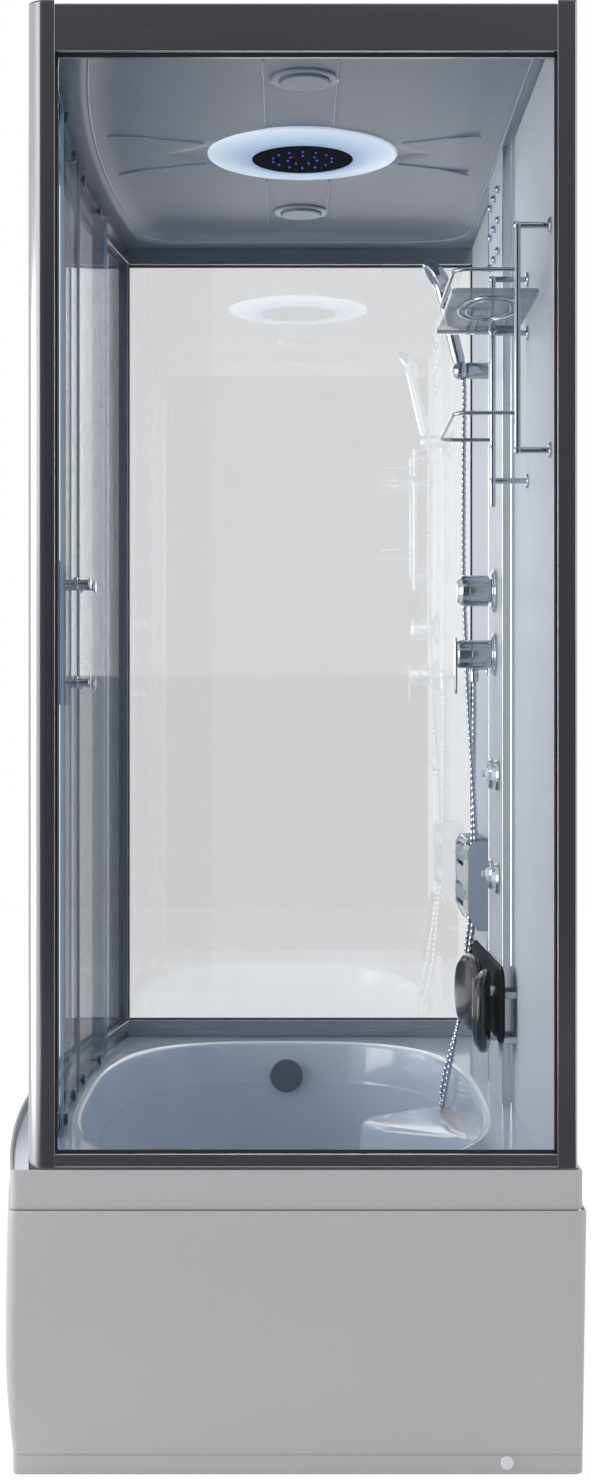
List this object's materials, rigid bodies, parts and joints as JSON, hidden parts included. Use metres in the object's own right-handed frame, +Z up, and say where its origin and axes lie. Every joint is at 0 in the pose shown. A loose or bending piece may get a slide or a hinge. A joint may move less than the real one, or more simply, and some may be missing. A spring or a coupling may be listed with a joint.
{
  "type": "shower cabin with bathtub",
  "caption": "Shower cabin over a bathtub: bowed apron, glass ends, curved sliding doors, mixer column with jets, hand shower, shelf, foot massager, back pads and a lit rain head.",
  "frame": {"origin": "on the floor at the middle of the cabin's outline, under its feet", "axes": "+X along the bath away from the drain, +Y from the doors toward the back wall, +Z up"},
  "size_m": [1.5, 0.8998, 2.15],
  "materials": {
    "acrylic": "gloss",
    "apron_plastic": "gloss",
    "frame_steel": "galvanised, dull",
    "chrome": "polished",
    "drain_plastic": "satin",
    "grey_plastic": "satin",
    "dark_aluminium": "satin, anodised dark grey",
    "aluminium": "satin",
    "glass": "clear",
    "panel_white": "gloss",
    "roof_plastic": "satin",
    "head_grey": "satin",
    "light_ring": "translucent, lit",
    "spray_dark": "satin",
    "brass": "raw",
    "jet_plastic": "gloss",
    "massager_plastic": "satin",
    "roller_plastic": "satin",
    "base_plastic": "satin",
    "pad_foam": "smooth, semi-gloss",
    "hose_metal": "ribbed",
    "seal_rubber": "soft",
    "hanger_dark": "satin"
  },
  "bodies": {
    "cabin": {"tub_shell": "acrylic", "support_frame": "frame_steel", "levelling_feet": "frame_steel", "front_apron": "apron_plastic", "end_aprons": "apron_plastic", "apron_screw_caps": "chrome", "drain_waste": "chrome", "waste_trap": "drain_plastic", "front_bottom_rail": "dark_aluminium", "front_top_rail": "dark_aluminium", "corner_posts": "dark_aluminium", "end_beams": "dark_aluminium", "end_sills": "aluminium", "end_glasses": "glass", "fixed_glasses": "glass", "back_panels": "panel_white", "column_panel": "panel_white", "column_trims": "aluminium", "roof_shell": "roof_plastic", "ceiling_lamps": "grey_plastic", "rain_head": "head_grey", "led_ring": "light_ring", "spray_plate": "spray_dark", "column_nozzles": "chrome", "valve_and_pipes": "brass", "escutcheons": "chrome", "mixer_body": "chrome", "hose_outlet": "chrome", "jet_rings": "chrome", "shelf_rack": "chrome", "shelf_plate": "glass", "massager_housing": "massager_plastic", "backrest_base": "base_plastic", "back_pad_left": "pad_foam", "back_pad_right": "pad_foam", "handset_holder": "chrome", "shower_hose": "hose_metal"},
    "door_left": {"door_glass_left": "glass", "door_seal_left": "seal_rubber", "door_handle_left": "chrome", "door_hangers_left": "hanger_dark"},
    "door_right": {"door_glass_right": "glass", "door_seal_right": "seal_rubber", "door_handle_right": "chrome", "door_hangers_right": "hanger_dark"},
    "roller_1": {"door_roller_1": "hanger_dark"},
    "roller_2": {"door_roller_2": "hanger_dark"},
    "roller_3": {"door_roller_3": "hanger_dark"},
    "roller_4": {"door_roller_4": "hanger_dark"},
    "temperature_knob": {"temperature_knob": "chrome"},
    "mixer_lever": {"mixer_lever": "chrome"},
    "handset": {"handset": "chrome"},
    "jet_1": {"jet_nozzle_1": "jet_plastic"},
    "jet_2": {"jet_nozzle_2": "jet_plastic"},
    "jet_3": {"jet_nozzle_3": "jet_plastic"},
    "jet_4": {"jet_nozzle_4": "jet_plastic"},
    "massage_roller_upper": {"massage_roller_upper": "roller_plastic"},
    "massage_roller_lower": {"massage_roller_lower": "roller_plastic"},
    "overflow_knob": {"overflow_knob": "grey_plastic"},
    "drain_plug": {"drain_plug": "chrome"}
  },
  "joints": [
    {"name": "door_left_slide", "type": "hinge", "parent": "cabin", "child": "door_left", "pos_m": [0, 4.628, 0], "axis": [0, 0, -1], "range_deg": [0, 3.2]},
    {"name": "door_right_slide", "type": "hinge", "parent": "cabin", "child": "door_right", "pos_m": [0, 4.628, 0], "axis": [0, 0, 1], "range_deg": [0, 3.2]},
    {"name": "roller_1_spin", "type": "hinge", "parent": "door_left", "child": "roller_1", "pos_m": [-0.31861, -0.36535, 2.097], "axis": [-0.0637, -0.998, 0], "range_deg": [0, 1400]},
    {"name": "roller_2_spin", "type": "hinge", "parent": "door_left", "child": "roller_2", "pos_m": [-0.08516, -0.37478, 2.097], "axis": [-0.017, -0.9999, 0], "range_deg": [0, 1400]},
    {"name": "roller_3_spin", "type": "hinge", "parent": "door_right", "child": "roller_3", "pos_m": [0.08516, -0.37478, 2.097], "axis": [-0.017, 0.9999, 0], "range_deg": [0, 1400]},
    {"name": "roller_4_spin", "type": "hinge", "parent": "door_right", "child": "roller_4", "pos_m": [0.31861, -0.36535, 2.097], "axis": [-0.0637, 0.998, 0], "range_deg": [0, 1400]},
    {"name": "temperature_turn", "type": "hinge", "parent": "cabin", "child": "temperature_knob", "pos_m": [0.012, 0.35, 1.335], "axis": [0, -1, 0], "range_deg": [-135, 135]},
    {"name": "lever_turn", "type": "hinge", "parent": "cabin", "child": "mixer_lever", "pos_m": [0.012, 0.33, 1.221], "axis": [0, -1, 0], "range_deg": [-90, 90]},
    {"name": "handset_lift", "type": "slide", "parent": "cabin", "child": "handset", "axis": [0, -0.2419, 0.9703], "range_m": [0, 0.06]},
    {"name": "jet_1_tilt", "type": "hinge", "parent": "cabin", "child": "jet_1", "pos_m": [-0.048, 0.387, 1.005], "axis": [1, 0, 0], "range_deg": [-15, 15]},
    {"name": "jet_2_tilt", "type": "hinge", "parent": "cabin", "child": "jet_2", "pos_m": [0.072, 0.387, 1.005], "axis": [1, 0, 0], "range_deg": [-15, 15]},
    {"name": "jet_3_tilt", "type": "hinge", "parent": "cabin", "child": "jet_3", "pos_m": [-0.048, 0.387, 0.822], "axis": [1, 0, 0], "range_deg": [-15, 15]},
    {"name": "jet_4_tilt", "type": "hinge", "parent": "cabin", "child": "jet_4", "pos_m": [0.072, 0.387, 0.822], "axis": [1, 0, 0], "range_deg": [-15, 15]},
    {"name": "massage_upper_spin", "type": "hinge", "parent": "cabin", "child": "massage_roller_upper", "pos_m": [-0.43, 0.376, 0.8374], "axis": [1, 0, 0], "continuous": true},
    {"name": "massage_lower_spin", "type": "hinge", "parent": "cabin", "child": "massage_roller_lower", "pos_m": [-0.43, 0.376, 0.75844], "axis": [1, 0, 0], "continuous": true},
    {"name": "overflow_turn", "type": "hinge", "parent": "cabin", "child": "overflow_knob", "pos_m": [-0.61, 0.012, 0.363], "axis": [1, 0, 0], "range_deg": [0, 90]},
    {"name": "plug_lift", "type": "slide", "parent": "cabin", "child": "drain_plug", "axis": [0, 0, 1], "range_m": [0, 0.0101]}
  ],
  "couplings": [
    {"joint": "roller_1_spin", "follows": "door_left_slide", "ratio": 435.07},
    {"joint": "roller_2_spin", "follows": "door_left_slide", "ratio": 435.07},
    {"joint": "roller_3_spin", "follows": "door_right_slide", "ratio": 435.07},
    {"joint": "roller_4_spin", "follows": "door_right_slide", "ratio": 435.07},
    {"joint": "plug_lift", "follows": "overflow_turn", "m_per_rad": 0.0063662}
  ]
}
